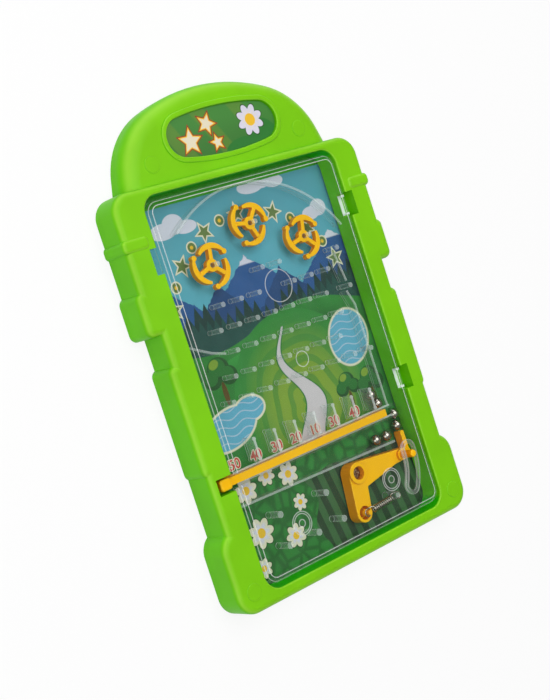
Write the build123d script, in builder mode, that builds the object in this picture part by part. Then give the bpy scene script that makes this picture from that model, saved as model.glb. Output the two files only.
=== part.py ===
"""Tabletop pinball game: a moulded case, a clear peg maze, three spinners, a ball gate and a spring lever.

The case lies face up: X is its width, Y its length with the header at the far end, and Z its depth.
"""
import math
import os

from build123d import *

# Window and case, from the front face
window_width = 126.0
window_length = 202.1
window_corner = 8.4
window_edge = 1.1
rim_height = 18.0
rim_bottom = 6.8
rim_top = 4.6
rim_edge = 3.4
case_corner = 10.5
step_corner = 3.8
wall = 2.4
front_wall = 2.2
inner_wall = 2.2

# Rim width beside the window at each step of the case's sides
neck_rim = 12.3
waist_rim = 13.6
panel_rim = 14.9
shoulder_rim = 17.4
foot_rim = 18.7
block_rim = 19.7
strap_rim = 18.7
strap_rise = 0.9
strap_inset = 3.4
strap_corner = 2.4
strap_edge = 2.2

# Start and end of each step along the case, as shares of its length without the header
neck_shares = (0.0, 1.0)
waist_shares = (0.0, 0.45)
panel_shares = (0.330, 0.597)
foot_shares = (0.0, 0.201)
block_shares = (0.671, 0.775)
shoulder_shares = (0.70, 1.0)
strap_shares = (0.864, 0.896)

# Header with its oval picture
header_length = 44.5
header_half = 66.2
header_root = 20.0
header_height = 14.1
header_edge = 8.6
header_wall = 4.6
crown_shares = (0.60, 0.83)
cheek_shares = (0.98, 0.19)
oval_half_width = 35.4
oval_half_height = 12.3
oval_offset = 19.3
oval_depth = 1.4
oval_end_radius = 10.2
oval_lip = 2.8
oval_lip_rise = 0.9
oval_lip_edge = 0.85
print_thickness = 0.3
print_fit = 0.15

# Back plate and its screws
back_thickness = 2.4
back_fit = 0.2
boss_radius = 3.2
boss_seat_share = 0.8
boss_mark_radius = 4.3
boss_mark_rise = 0.35
boss_mark_edge = 0.3
screw_radius = 1.3
screw_fit = 0.05
screw_length = 10.0
screw_head_radius = 2.5
screw_head_height = 1.3
screw_recess = 1.5
screw_side_inset = 9.8
foot_screw_inset = 11.0
header_screw_half = 48.3
header_screw_offset = 9.9
side_screw_share = 0.51

# Layers under the clear cover
card_thickness = 0.4
floor_thickness = 1.0
sheet_fit = 0.2

# Clear cover
cover_gap_side = 0.6
cover_gap_end = 2.4
cover_thickness = 1.4
cover_skirt = 1.2
cover_edge = 3.2
cover_inner_edge = 2.2
cover_corner = 7.0
flange_reach = 1.4
flange_fit = 0.1
guide_thickness = 1.0
gate_ring_width = 0.5
gate_ring_rise = 0.25
middle_rings = (8.5,)
centre_rings = (4.0,)
corner_rings = (6.0, 4.9, 1.9)
middle_ring_share = 0.693
centre_ring_share = 0.508
corner_ring_shares = (0.51, 0.146)
latch_length = 11.0
latch_height = 3.0
latch_reach = 2.2
latch_base = 11.0
notch_length = 13.0
notch_depth = 4.6
notch_floor = 10.0
notch_wall = 1.6
upper_latch_share = 0.8314
lower_latch_share = 0.370

# Maze walls and pegs on the tray's floor, with places as shares of the window's half width and its length
peg_radius = 1.3
peg_height = 10.8
peg_pitch = 12.0
row_pitch = 11.9
first_peg_shares = (-0.540, 0.6977)
peg_rows = ((0, 7), (1, 7), (0, 7), (1, 7), (2, 9))
missing_pegs = {(0, 3)}
top_peg_shares = ((-0.051, 0.7556), (0.132, 0.7556), (0.767, 0.7442), (0.784, 0.6383))
wall_thickness = 1.2
wall_fit = 0.4
rail_height = 6.2
arch_radius_share = 1.0873
arch_gap = 4.9
arch_end_angle = 130.0
lane_share = 0.829
lane_gap = 1.0
lane_bend_share = 0.5849
lane_mouth_shares = (0.784, 0.6254)
lane_upper_shares = ((0.816, 0.6512), (0.776, 0.7333))
deflector_start_share = 0.6274
deflector_shares = ((-0.740, 0.5928), (-0.610, 0.5799))
divider_pitch = 13.6
divider_first_shares = (-0.644, 0.3592)
divider_count = 7
divider_gap = 0.4
divider_height = 9.3
divider_cap_radius = 1.0
post_shares = ((-0.643, 0.1603), (-0.143, 0.1603), (-0.643, 0.0787), (-0.333, 0.0762), (-0.048, 0.0792))
post_radius = 1.7

# Return rail, which brings the balls to the lever
rail_left_share = 0.2143
rail_right_shares = (0.787, 0.2014)

# Spinners on their pins
spinner_shares = {
    "spinner_left": (-0.477, 0.7976),
    "spinner_centre": (0.010, 0.8713),
    "spinner_right": (0.511, 0.7986),
}
spinner_turns = {"spinner_left": 79.0, "spinner_centre": 50.0, "spinner_right": 75.0}
spinner_radius = 11.6
spinner_thickness = 3.2
spinner_edge = 0.4
spinner_lift = 3.6
spinner_running_gap = 0.3
spinner_hub_radius = 3.4
spinner_spoke_width = 2.3
spinner_tip_radius = 1.5
spinner_blade_half_angle = 51.0
blade_ball_shares = (1.0, 0.89)
blade_thin_shares = (0.83, 0.70)
blade_inner_share = 0.73
blade_count = 3
pin_radius = 1.3
pin_shoulder_radius = 2.4
pin_height = 11.6
running_fit = 0.05

# Ball gate
gate_width = 4.0
gate_fit = 0.3
gate_shares = (0.745, 0.2850)
gate_lift = 6.6
gate_rail_height = 3.0
gate_travel = 6.2
tooth_width = 6.0
first_tooth_share = 1.25
end_tooth_width = 4.0
tooth_lift = 0.3
tab_length = 7.0
tab_width = 6.0
tab_top = 16.2
tab_gap = 0.6
tab_corner = 1.6
tab_edge = 1.2
tab_notch_depth = 10.0
tab_notch_fit = 1.2
tab_run = 3.8

# Launch lever
pivot_shares = (0.2667, 0.1672)
lever_lift = 0.6
lever_height = 7.0
lever_hub_radius = 5.8
lever_hub_rise = 1.2
lever_edge = 0.5
lever_bore_radius = 2.4
lever_counterbore_radius = 3.6
lever_seat_height = 4.6
knob_reach_share = 0.516
knob_angle = -1.7
knob_radius = 2.1
knob_rise = 4.4
knob_edge = 1.3
knob_collar_radius = 3.1
knob_collar_rise = 1.6
arm_end_radius = 2.9
arm_end_shares = (1.16, -0.04)
lower_arm_length = 21.0
lower_arm_lean = 3.1
lower_arm_radius = 5.2
web_corner_shares = (0.12, 0.43)
web_end_shares = (0.95, 0.19)
finger_half_width = 1.3
finger_reach_share = 0.6333
finger_rise = 10.6
finger_drop = 3.6
finger_corner = 1.1
finger_height = 5.2
lever_travel = 25.0
slot_end_angle = 5.0
slot_fit = 0.8
collar_width = 2.2
collar_rise = 1.5
collar_edge = 0.5
spring_pin_radius = 1.3
spring_pin_height = 4.3
spring_pin_base_radius = 2.0
spring_pin_base_height = 0.8
spring_cup_radius = 3.7
spring_cup_depth = 4.6
pivot_screw_head_radius = 3.2
pivot_screw_head_height = 1.6
pivot_screw_radius = 1.2
pivot_screw_length = 4.0

# Tension spring between the lever's lower arm and a post
spring_post_shares = (0.576, 0.0703)
spring_post_base_radius = 2.2
spring_height = 13.9
spring_post_drop = 1.6
spring_wire_radius = 0.3
spring_coil_radius = 1.7
spring_turns = 11
spring_lead = 4.3
spring_loop_gap = 0.35
spring_start_angle = 60.0
spring_loop_angle = 210.0
spring_steps_per_turn = 4
gap_samples = 1500
gap_skip_turns_share = 0.4

# Steel balls
ball_radius = 3.0
ball_lift = 0.15
ball_gap = 0.35
rail_ball_shares = {"return_ball_left": 0.093, "return_ball_right": 0.022}
lane_ball_angle = 85.0
pocket_ball_angle = 115.0

# Cuts run past the faces that they open
overrun = 2.0
tolerance = 0.01

# Places and levels that follow from the sizes above
body_length = window_length + rim_bottom + rim_top
total_length = body_length + header_length
body_bottom = -total_length / 2
body_top = body_bottom + body_length
window_bottom = body_bottom + rim_bottom
window_top = window_bottom + window_length
window_centre = (window_bottom + window_top) / 2
window_half = window_width / 2
header_top = body_top + header_length
oval_centre = body_top + oval_offset
card_top = back_thickness + card_thickness
play_floor = card_top + floor_thickness
cover_under = rim_height - cover_thickness
cover_width = window_width - 2 * cover_gap_side
cover_length = window_length - 2 * cover_gap_end
hollow_width = cover_width - 2 * cover_skirt
hollow_length = cover_length - 2 * cover_skirt
flange_top = play_floor
gate_base = play_floor + gate_lift
gate_top = gate_base + gate_rail_height
lever_base = play_floor + lever_lift
lever_top = lever_base + lever_height
slot_width = 2 * (knob_radius + slot_fit)
ball_height = play_floor + ball_lift + ball_radius
knob_reach = window_half * knob_reach_share
finger_reach = window_half * finger_reach_share
arch_radius = window_half * arch_radius_share

side_steps = (
    (neck_rim, neck_shares, case_corner),
    (waist_rim, waist_shares, case_corner),
    (panel_rim, panel_shares, step_corner),
    (foot_rim, foot_shares, case_corner),
    (block_rim, block_shares, step_corner),
    (shoulder_rim, shoulder_shares, case_corner),
)


def along(share):
    """Place along the case for a share of its length without the header."""
    return body_bottom + share * body_length


def spot(shares):
    """Place in the window for shares of its half width and of its length."""
    return (window_half * shares[0], window_bottom + window_length * shares[1])


def rounded_slab(width, length, centre, base, top, corner, edge):
    """A plate with rounded corners and a rounded upper edge."""
    with BuildPart() as slab:
        with BuildSketch(Plane.XY.offset(base)):
            with Locations(centre):
                RectangleRounded(width, length, corner)
        extrude(amount=top - base)
        fillet(slab.faces().sort_by(Axis.Z)[-1].edges(), edge)
    return slab.part


def header_outline(inset):
    """The domed header, drawn into the open sketch and moved in by the inset."""
    crown = (header_half * crown_shares[0], body_top + header_length * crown_shares[1])
    cheek = (header_half * cheek_shares[0], body_top + header_length * cheek_shares[1])
    root = body_top - header_root
    with BuildSketch(mode=Mode.PRIVATE) as dome:
        with BuildLine():
            top = TangentArc((0, header_top), crown, tangent=(1, 0))
            side = TangentArc(top @ 1, cheek, tangent=top % 1)
            jaw = PolarLine(side @ 1, cheek[1] - root, direction=side % 1, length_mode=LengthMode.VERTICAL)
            Line(jaw @ 1, (0, root))
            mirror(about=Plane.YZ)
        make_face()
        if inset:
            offset(amount=-inset, kind=Kind.INTERSECTION)
    add(dome.sketch)


def case_outline(inset):
    """The stepped body without the header, drawn into the open sketch and moved in by the inset."""
    for rim, shares, corner in side_steps:
        low = along(shares[0]) + inset
        high = along(shares[1]) - inset
        with Locations((0, (low + high) / 2)):
            RectangleRounded(window_width + 2 * (rim - inset), high - low, corner - inset)


def window_outline(margin, mode=Mode.ADD):
    """The window's outline, drawn into the open sketch and moved out by the margin."""
    sizes = (window_width + 2 * margin, window_length + 2 * margin)
    with Locations((0, window_centre)):
        RectangleRounded(*sizes, window_corner + margin, mode=mode)


def cover_outline(inset):
    """The clear cover's outline, drawn into the open sketch and moved in by the inset."""
    with Locations((0, window_centre)):
        RectangleRounded(cover_width - 2 * inset, cover_length - 2 * inset, cover_corner - inset)


def oval(margin):
    """The header's oval of four smooth arcs, drawn into the open sketch and moved out by the margin."""
    half_width = oval_half_width + margin
    half_height = oval_half_height + margin
    round_end = oval_end_radius + margin
    end_centre = half_width - round_end
    drop = half_height - round_end
    flat = (end_centre**2 + half_height**2 - round_end**2) / (2 * drop)
    reach = flat / (flat - round_end)
    corner = (end_centre * reach, (flat - half_height) * (reach - 1))
    with BuildLine() as edge:
        top = ThreePointArc((-corner[0], corner[1]), (0, half_height), corner)
        end = ThreePointArc(top @ 1, (half_width, 0), (corner[0], -corner[1]))
        low = ThreePointArc(end @ 1, (0, -half_height), (-corner[0], -corner[1]))
        ThreePointArc(low @ 1, (-half_width, 0), top @ 0)
    make_face(edge.edges())


def box_between(low, high, mode=Mode.ADD):
    """A box between two opposite corners."""
    sizes = [high[i] - low[i] for i in range(3)]
    with Locations(tuple((low[i] + high[i]) / 2 for i in range(3))):
        Box(*sizes, mode=mode)


def post(place, base, height, radius, mode=Mode.ADD):
    """An upright cylinder that starts at the base."""
    with Locations((place[0], place[1], base)):
        Cylinder(radius, height, align=(Align.CENTER, Align.CENTER, Align.MIN), mode=mode)


def boss_mark(place, height):
    """A low disc with a soft edge where a screw boss ends behind the face at the height."""
    with BuildPart() as mark:
        post(place, height - front_wall / 2, front_wall / 2 + boss_mark_rise, boss_mark_radius)
        fillet(mark.faces().sort_by(Axis.Z)[-1].edges(), boss_mark_edge)
    return mark.part


def thin_wall(*points):
    """A thin wall along a line of points, drawn into the open sketch."""
    with BuildLine() as route:
        Polyline(*points)
    trace(route.line, line_width=wall_thickness)


def biarc(start, start_way, end, end_way):
    """Two arcs that join two places and directions smoothly, drawn into the open line."""
    chord = end - start
    ahead = chord.dot(start_way + end_way)
    turn = 2 * (1 - start_way.dot(end_way))
    reach = (math.sqrt(ahead**2 + turn * chord.dot(chord)) - ahead) / turn
    first = start + start_way * reach
    second = end - end_way * reach
    middle = (first + second) / 2
    TangentArc(start, middle, tangent=start_way)
    TangentArc(middle, end, tangent=second - first)


foot_screw_x = window_half + foot_rim - screw_side_inset
side_screw_x = window_half + inner_wall + boss_radius * boss_seat_share
header_screws = [(side * header_screw_half, body_top + header_screw_offset) for side in (-1, 1)]
foot_screws = [(side * foot_screw_x, body_bottom + foot_screw_inset) for side in (-1, 1)]
side_screws = [(side * side_screw_x, along(side_screw_share)) for side in (-1, 1)]
screw_places = header_screws + foot_screws + side_screws
header_hollow_top = header_height - oval_depth - front_wall
rim_hollow_top = rim_height - front_wall
latch_places = ((-1, upper_latch_share), (1, upper_latch_share), (1, lower_latch_share))
gate_right, gate_y = spot(gate_shares)
gate_left = -cover_width / 2
gate_low = gate_y - gate_width / 2
gate_high = gate_y + gate_width / 2
pivot = spot(pivot_shares)
knob_turn = math.radians(knob_angle)
knob_place = (pivot[0] + knob_reach * math.cos(knob_turn), pivot[1] + knob_reach * math.sin(knob_turn))
spring_pin_place = (pivot[0] - lower_arm_lean, pivot[1] - lower_arm_length)
spring_post = spot(spring_post_shares)
spinner_places = {name: spot(shares) for name, shares in spinner_shares.items()}

os.makedirs("parts", exist_ok=True)

# Front frame: stepped rim, header, window and the notches of the cover and of the gate's tab
case_steps = []
for rim, shares, corner in side_steps:
    low = along(shares[0])
    high = along(shares[1])
    middle = (0, (low + high) / 2)
    step_width = window_width + 2 * rim
    case_steps.append(rounded_slab(step_width, high - low, middle, 0, rim_height, corner, rim_edge))
strap_low = along(strap_shares[0])
strap_high = along(strap_shares[1])
strap_width = strap_rim - strap_inset
strap_length = strap_high - strap_low
strap_top = rim_height + strap_rise
for side in (-1, 1):
    middle = (side * (window_half + (strap_inset + strap_rim) / 2), (strap_low + strap_high) / 2)
    strap = rounded_slab(strap_width, strap_length, middle, 0, strap_top, strap_corner, strap_edge)
    case_steps.append(strap)

with BuildPart() as header_dome:
    with BuildSketch():
        header_outline(0)
    extrude(amount=header_height)
    root_limit = body_top - header_root + tolerance
    dome_edges = header_dome.faces().sort_by(Axis.Z)[-1].edges()
    fillet(dome_edges.filter_by(lambda edge: edge.center().Y > root_limit), header_edge)

with BuildPart() as oval_ridge:
    with BuildSketch(Plane((0, oval_centre, header_height - oval_depth))):
        oval(oval_lip)
    extrude(amount=oval_depth + oval_lip_rise)
    with BuildSketch(Plane((0, oval_centre, header_height - oval_depth))):
        oval(0)
    extrude(amount=oval_depth + oval_lip_rise, mode=Mode.SUBTRACT)
    fillet(oval_ridge.faces().sort_by(Axis.Z)[-1].edges(), oval_lip_edge)

with BuildPart() as window_ring:
    add(case_steps[0])
    with BuildSketch():
        window_outline(0)
    extrude(amount=rim_height, mode=Mode.SUBTRACT)
    top_edges = window_ring.faces().sort_by(Axis.Z)[-1].inner_wires()[0].edges()
    fillet(top_edges, window_edge)

with BuildPart() as front_frame:
    add(header_dome.part)
    for step in case_steps[1:]:
        add(step)
    with BuildSketch():
        window_outline(inner_wall)
    extrude(amount=strap_top, mode=Mode.SUBTRACT)
    add(window_ring.part)
    with BuildSketch():
        case_outline(wall)
        header_outline(header_wall)
    extrude(amount=back_thickness, mode=Mode.SUBTRACT)
    with BuildSketch():
        window_outline(flange_reach + flange_fit)
    extrude(amount=flange_top + flange_fit, mode=Mode.SUBTRACT)
    with BuildSketch():
        case_outline(wall)
        window_outline(inner_wall, mode=Mode.SUBTRACT)
        with Locations((0, window_top)):
            Rectangle(total_length, header_length, align=(Align.CENTER, Align.MIN), mode=Mode.SUBTRACT)
    extrude(amount=rim_hollow_top, mode=Mode.SUBTRACT)
    with BuildSketch():
        header_outline(header_wall)
        with Locations((0, body_top)):
            Rectangle(total_length, total_length, align=(Align.CENTER, Align.MAX), mode=Mode.SUBTRACT)
    extrude(amount=header_hollow_top, mode=Mode.SUBTRACT)
    for places, height in ((header_screws, header_height), (foot_screws, rim_height)):
        for place in places:
            post(place, back_thickness, height - back_thickness - front_wall / 2, boss_radius)
            add(boss_mark(place, height))
    for place in side_screws:
        post(place, back_thickness, rim_hollow_top - back_thickness, boss_radius)
    for place in screw_places:
        post(place, 0, screw_recess + screw_length, screw_radius + screw_fit, Mode.SUBTRACT)
    notch_seat = (inner_wall + flange_reach + flange_fit) / 2
    for side, share in latch_places:
        near = side * (window_half + notch_seat)
        far = side * (window_half + notch_depth + notch_wall)
        reach = notch_length / 2 + notch_wall
        box_between(
            (min(near, far), along(share) - reach, notch_floor - notch_wall),
            (max(near, far), along(share) + reach, rim_hollow_top + front_wall / 2),
        )
        place = (side * window_half, along(share))
        box_between(
            (place[0] - notch_depth, place[1] - notch_length / 2, notch_floor),
            (place[0] + notch_depth, place[1] + notch_length / 2, rim_height + overrun),
            Mode.SUBTRACT,
        )
    tab_notch_reach = tab_width / 2 + tab_notch_fit
    tab_wall_reach = tab_notch_reach + notch_wall
    box_between(
        (-window_half - tab_notch_depth - notch_wall, gate_y - tab_wall_reach, back_thickness),
        (-window_half - notch_seat, gate_y + tab_wall_reach, rim_hollow_top + front_wall / 2),
    )
    box_between(
        (-window_half - tab_notch_depth, gate_y - tab_notch_reach, play_floor),
        (0, gate_y + tab_notch_reach, rim_height + overrun),
        Mode.SUBTRACT,
    )
    add(oval_ridge.part)
    with BuildSketch(Plane((0, oval_centre, header_height - oval_depth))):
        oval(0)
    extrude(amount=oval_depth, mode=Mode.SUBTRACT)
front_frame.part.label = "front_frame"
export_step(front_frame.part, "parts/front_frame.step")

# Back plate, let into the frame
with BuildPart() as back_cover:
    with BuildSketch():
        case_outline(wall + back_fit)
        header_outline(header_wall + back_fit)
    extrude(amount=back_thickness)
    for place in screw_places:
        post(place, 0, back_thickness, screw_radius + screw_fit, Mode.SUBTRACT)
        post(place, 0, screw_recess, screw_head_radius + back_fit, Mode.SUBTRACT)
back_cover.part.label = "back_cover"
export_step(back_cover.part, "parts/back_cover.step")

# Back screws, one group
with BuildPart() as back_screws:
    for place in screw_places:
        post(place, screw_recess - screw_head_height, screw_head_height, screw_head_radius)
        post(place, screw_recess, screw_length, screw_radius)
back_screws.part.label = "back_screws"
export_step(back_screws.part, "parts/back_screws.step")

# Printed sheets: the header's picture and the card under the maze
with BuildPart() as header_picture:
    with BuildSketch(Plane((0, oval_centre, header_height - oval_depth))):
        oval(-print_fit)
    extrude(amount=print_thickness)
header_picture.part.label = "header_picture"
export_step(header_picture.part, "parts/header_picture.step")

with BuildPart() as playfield_card:
    with BuildSketch(Plane.XY.offset(back_thickness)):
        window_outline(flange_reach)
    extrude(amount=card_thickness)
playfield_card.part.label = "playfield_card"
export_step(playfield_card.part, "parts/playfield_card.step")

# Clear tray: the floor with its posts, spinner pins and the lever's bearing
first_peg = spot(first_peg_shares)
peg_places = [spot(shares) for shares in top_peg_shares]
for row, (half_steps, count) in enumerate(peg_rows):
    for column in range(count):
        if (row, column) not in missing_pegs:
            peg_x = first_peg[0] + (column - half_steps / 2) * peg_pitch
            peg_places.append((peg_x, first_peg[1] - row * row_pitch))
divider_first, divider_top = spot(divider_first_shares)
divider_places = [divider_first + i * divider_pitch for i in range(divider_count)]
guide_near = gate_width / 2 + gate_fit
guide_far = guide_near + guide_thickness
divider_bottom = gate_y + guide_far + divider_cap_radius + divider_gap
wall_reach = hollow_width / 2 - wall_fit - wall_thickness / 2
arch_angle = math.degrees(math.acos(wall_reach / arch_radius))
lane_x = window_half * lane_share
lane_points = ((lane_x, gate_high + lane_gap), spot((lane_share, lane_bend_share)), spot(lane_mouth_shares))
lane_upper_points = [spot(shares) for shares in lane_upper_shares]
deflector_start = (-wall_reach, spot((0, deflector_start_share))[1])
deflector_points = [deflector_start] + [spot(shares) for shares in deflector_shares]
rail_left = (-wall_reach, spot((0, rail_left_share))[1])
rail_right = spot(rail_right_shares)
lever_seat = play_floor + lever_seat_height
spinner_base = play_floor + spinner_lift

with BuildPart() as playfield_tray:
    with BuildSketch(Plane.XY.offset(card_top)):
        cover_outline(cover_skirt + sheet_fit)
    extrude(amount=floor_thickness)
    for shares in post_shares:
        post(spot(shares), play_floor, peg_height, post_radius)
    for place in spinner_places.values():
        post(place, play_floor, spinner_lift - spinner_running_gap, pin_shoulder_radius)
        post(place, play_floor, pin_height, pin_radius)
    post(pivot, play_floor, lever_seat_height, lever_bore_radius - running_fit)
    pilot_radius = pivot_screw_radius + screw_fit
    post(pivot, lever_seat - pivot_screw_length, pivot_screw_length, pilot_radius, Mode.SUBTRACT)
    post(spring_post, play_floor, peg_height, spring_pin_radius)
    post(spring_post, play_floor, spring_height - spring_post_drop - play_floor, spring_post_base_radius)
playfield_tray.part.label = "playfield_tray"
export_step(playfield_tray.part, "parts/playfield_tray.step")

# The tray's pegs, its guide walls and the dividers of the scoring pockets
with BuildPart() as field_pegs:
    with BuildSketch(Plane.XY.offset(play_floor)):
        with Locations(*peg_places):
            Circle(peg_radius)
    extrude(amount=peg_height)
field_pegs.part.label = "field_pegs"
export_step(field_pegs.part, "parts/field_pegs.step")

with BuildPart() as maze_walls:
    with BuildSketch(Plane.XY.offset(play_floor)):
        with BuildLine() as arch:
            arch_centre = (0, window_top - arch_gap - arch_radius)
            CenterArc(arch_centre, arch_radius, arch_angle, arch_end_angle - arch_angle)
        trace(arch.line, line_width=wall_thickness)
        thin_wall(*lane_points)
        thin_wall(*lane_upper_points)
        thin_wall(*deflector_points)
        thin_wall(rail_left, rail_right)
    extrude(amount=rail_height)
maze_walls.part.label = "maze_walls"
export_step(maze_walls.part, "parts/maze_walls.step")

with BuildPart() as pocket_dividers:
    with BuildSketch(Plane.XY.offset(play_floor)):
        for x in divider_places:
            thin_wall((x, divider_top), (x, divider_bottom))
            with Locations((x, divider_top), (x, divider_bottom)):
                Circle(divider_cap_radius)
    extrude(amount=divider_height)
pocket_dividers.part.label = "pocket_dividers"
export_step(pocket_dividers.part, "parts/pocket_dividers.step")

# Clear cover with its foot flange, gate guides and lever slot
slot_start = knob_angle - lever_travel - slot_end_angle
knob_arc = CenterArc(pivot, knob_reach, slot_start, lever_travel + 2 * slot_end_angle)
cover_middle = (0, window_centre)
cover_shell = rounded_slab(
    cover_width, cover_length, cover_middle, card_top, rim_height, cover_corner, cover_edge
)
cover_hollow = rounded_slab(
    hollow_width, hollow_length, cover_middle, 0, cover_under, cover_corner - cover_skirt, cover_inner_edge
)
guide_start = gate_left - tab_gap + gate_travel + gate_fit
guide_end = gate_right + gate_travel - gate_fit
ring_groups = (
    ((0, along(middle_ring_share)), middle_rings),
    ((0, along(centre_ring_share)), centre_rings),
    ((-window_half * corner_ring_shares[0], along(corner_ring_shares[1])), corner_rings),
    ((window_half * corner_ring_shares[0], along(corner_ring_shares[1])), corner_rings),
)
tab_reach = tab_width / 2 + gate_fit

with BuildPart() as clear_cover:
    add(cover_shell)
    with BuildSketch(Plane.XY.offset(card_top)):
        window_outline(flange_reach)
    extrude(amount=floor_thickness)
    add(cover_hollow, mode=Mode.SUBTRACT)
    guide_top = cover_under + cover_thickness / 2
    box_between((guide_start, gate_y + guide_near, gate_base), (guide_end, gate_y + guide_far, guide_top))
    box_between((guide_start, gate_y - guide_far, gate_base), (guide_end, gate_y - guide_near, guide_top))
    with BuildSketch(Plane.XY.offset(rim_height)):
        SlotArc(knob_arc, slot_width + 2 * collar_width)
    extrude(amount=collar_rise)
    fillet(clear_cover.faces().sort_by(Axis.Z)[-1].edges(), collar_edge)
    with BuildSketch(Plane.XY.offset(cover_under)):
        SlotArc(knob_arc, slot_width)
    extrude(amount=cover_thickness + collar_rise + overrun, mode=Mode.SUBTRACT)
    with BuildSketch(Plane.XY.offset(rim_height)):
        for place, radii in ring_groups:
            with Locations(place):
                for radius in radii:
                    Circle(radius + gate_ring_width / 2)
                    Circle(radius - gate_ring_width / 2, mode=Mode.SUBTRACT)
    extrude(amount=gate_ring_rise)
    for side, share in latch_places:
        latch_x = side * (cover_width / 2 + (latch_reach - cover_skirt) / 2)
        with Locations((latch_x, along(share), latch_base + latch_height / 2)):
            Box(latch_reach + cover_skirt, latch_length, latch_height)
    box_between(
        (-window_half - overrun, gate_y - tab_reach, play_floor),
        (-cover_width / 2 + tab_run, gate_y + tab_reach, rim_height + overrun),
        Mode.SUBTRACT,
    )
clear_cover.part.label = "clear_cover"
export_step(clear_cover.part, "parts/clear_cover.step")

# Spinners: a hub with three spokes, each with a curved blade that ends in a ball tip
blade_angle = math.radians(spinner_blade_half_angle)
blade_ball_share = sum(blade_ball_shares) / 2


def blade_point(share, side):
    """A corner of the blade at a share of the spinner's radius, on one side of its spoke."""
    radius = spinner_radius * share
    return (radius * math.cos(blade_angle), side * radius * math.sin(blade_angle))


for name, place in spinner_places.items():
    turn = math.radians(spinner_turns[name])
    plane = Plane((place[0], place[1], spinner_base), x_dir=(math.cos(turn), math.sin(turn), 0))
    with BuildSketch(plane, mode=Mode.PRIVATE) as blade:
        with BuildLine():
            outer = ThreePointArc(
                blade_point(blade_ball_shares[0], -1),
                (spinner_radius, 0),
                blade_point(blade_thin_shares[0], 1),
            )
            inner = ThreePointArc(
                blade_point(blade_thin_shares[1], 1),
                (spinner_radius * blade_inner_share, 0),
                blade_point(blade_ball_shares[1], -1),
            )
            Line(outer @ 1, inner @ 0)
            Line(inner @ 1, outer @ 0)
        make_face()
        with Locations(blade_point(blade_ball_share, -1)):
            Circle(spinner_tip_radius)
        Rectangle(spinner_radius * blade_inner_share, spinner_spoke_width, align=(Align.MIN, Align.CENTER))
    with BuildPart() as spinner:
        with BuildSketch(plane):
            Circle(spinner_hub_radius)
            with PolarLocations(0, blade_count):
                add(blade.sketch_local)
            Circle(pin_radius + running_fit, mode=Mode.SUBTRACT)
        extrude(amount=spinner_thickness)
        fillet(spinner.faces().sort_by(Axis.Z)[-1].outer_wire().edges(), spinner_edge)
    spinner.part.label = name
    export_step(spinner.part, f"parts/{name}.step")

# Ball gate: a slide with teeth that close the pockets, and a finger tab
tooth_starts = [x - (divider_pitch + tooth_width) / 2 for x in divider_places]
tooth_starts.append(divider_first - divider_pitch * first_tooth_share - tooth_width / 2)
tooth_base = play_floor + tooth_lift
tab_middle = gate_left - tab_gap - tab_length / 2

with BuildPart() as slide_bar:
    box_between((tab_middle, gate_low, gate_base), (gate_right, gate_high, gate_top))
    for x in tooth_starts:
        box_between((x, gate_low, tooth_base), (x + tooth_width, gate_high, gate_base))
    box_between((gate_right - end_tooth_width, gate_low, tooth_base), (gate_right, gate_high, gate_base))
    with BuildSketch(Plane.XY.offset(gate_base)):
        with Locations((tab_middle, gate_y)):
            RectangleRounded(tab_length, tab_width, tab_corner)
    extrude(amount=tab_top - gate_base)
    fillet(slide_bar.faces().sort_by(Axis.Z)[-1].edges(), tab_edge)
slide_bar.part.label = "slide_bar"
export_step(slide_bar.part, "parts/slide_bar.step")

# Launch lever: a bell crank with a thumb knob, a striker finger and a spring pin
web_corner = (knob_reach * web_corner_shares[0], -lower_arm_length * web_corner_shares[1])
web_end = (knob_reach * web_end_shares[0], -lower_arm_length * web_end_shares[1])
arm_end = (knob_reach * arm_end_shares[0], knob_reach * arm_end_shares[1])

with BuildPart() as launch_lever:
    with BuildSketch(Plane.XY.offset(lever_base)):
        with Locations(pivot):
            Circle(lever_hub_radius)
        with Locations((pivot[0] + arm_end[0], pivot[1] + arm_end[1])):
            Circle(arm_end_radius)
        make_hull()
    with BuildSketch(Plane.XY.offset(lever_base)):
        with Locations(pivot):
            Circle(lever_hub_radius)
        with Locations(spring_pin_place):
            Circle(lower_arm_radius)
        make_hull()
    with BuildSketch(Plane.XY.offset(lever_base)):
        with Locations(pivot):
            Polygon((0, 0), web_corner, web_end, align=None)
    extrude(amount=lever_height)
    fillet(launch_lever.faces().sort_by(Axis.Z)[-1].edges(), lever_edge)
    with BuildSketch(Plane.XY.offset(lever_base)):
        with Locations((pivot[0] + finger_reach, pivot[1] + (finger_rise - finger_drop) / 2)):
            RectangleRounded(2 * finger_half_width, finger_rise + finger_drop, finger_corner)
    extrude(amount=finger_height)
    post(pivot, lever_base, lever_height + lever_hub_rise, lever_hub_radius)
    fillet(launch_lever.faces().sort_by(Axis.Z)[-1].edges(), lever_edge)
    post(pivot, lever_base, lever_height, lever_bore_radius, Mode.SUBTRACT)
    lever_floor = lever_seat - spinner_running_gap
    post(pivot, lever_floor, lever_height, lever_counterbore_radius, Mode.SUBTRACT)
    cup_floor = lever_top - spring_cup_depth
    post(spring_pin_place, cup_floor, spring_cup_depth, spring_cup_radius, Mode.SUBTRACT)
    post(spring_pin_place, cup_floor, spring_cup_depth + spring_pin_base_height, spring_pin_base_radius)
    post(spring_pin_place, cup_floor, spring_cup_depth + spring_pin_height, spring_pin_radius)
    post(knob_place, lever_base, lever_height + knob_collar_rise, knob_collar_radius)
    post(knob_place, lever_base, rim_height + knob_rise - lever_base, knob_radius)
    fillet(launch_lever.faces().sort_by(Axis.Z)[-1].edges(), knob_edge)
launch_lever.part.label = "launch_lever"
export_step(launch_lever.part, "parts/launch_lever.step")

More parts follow.
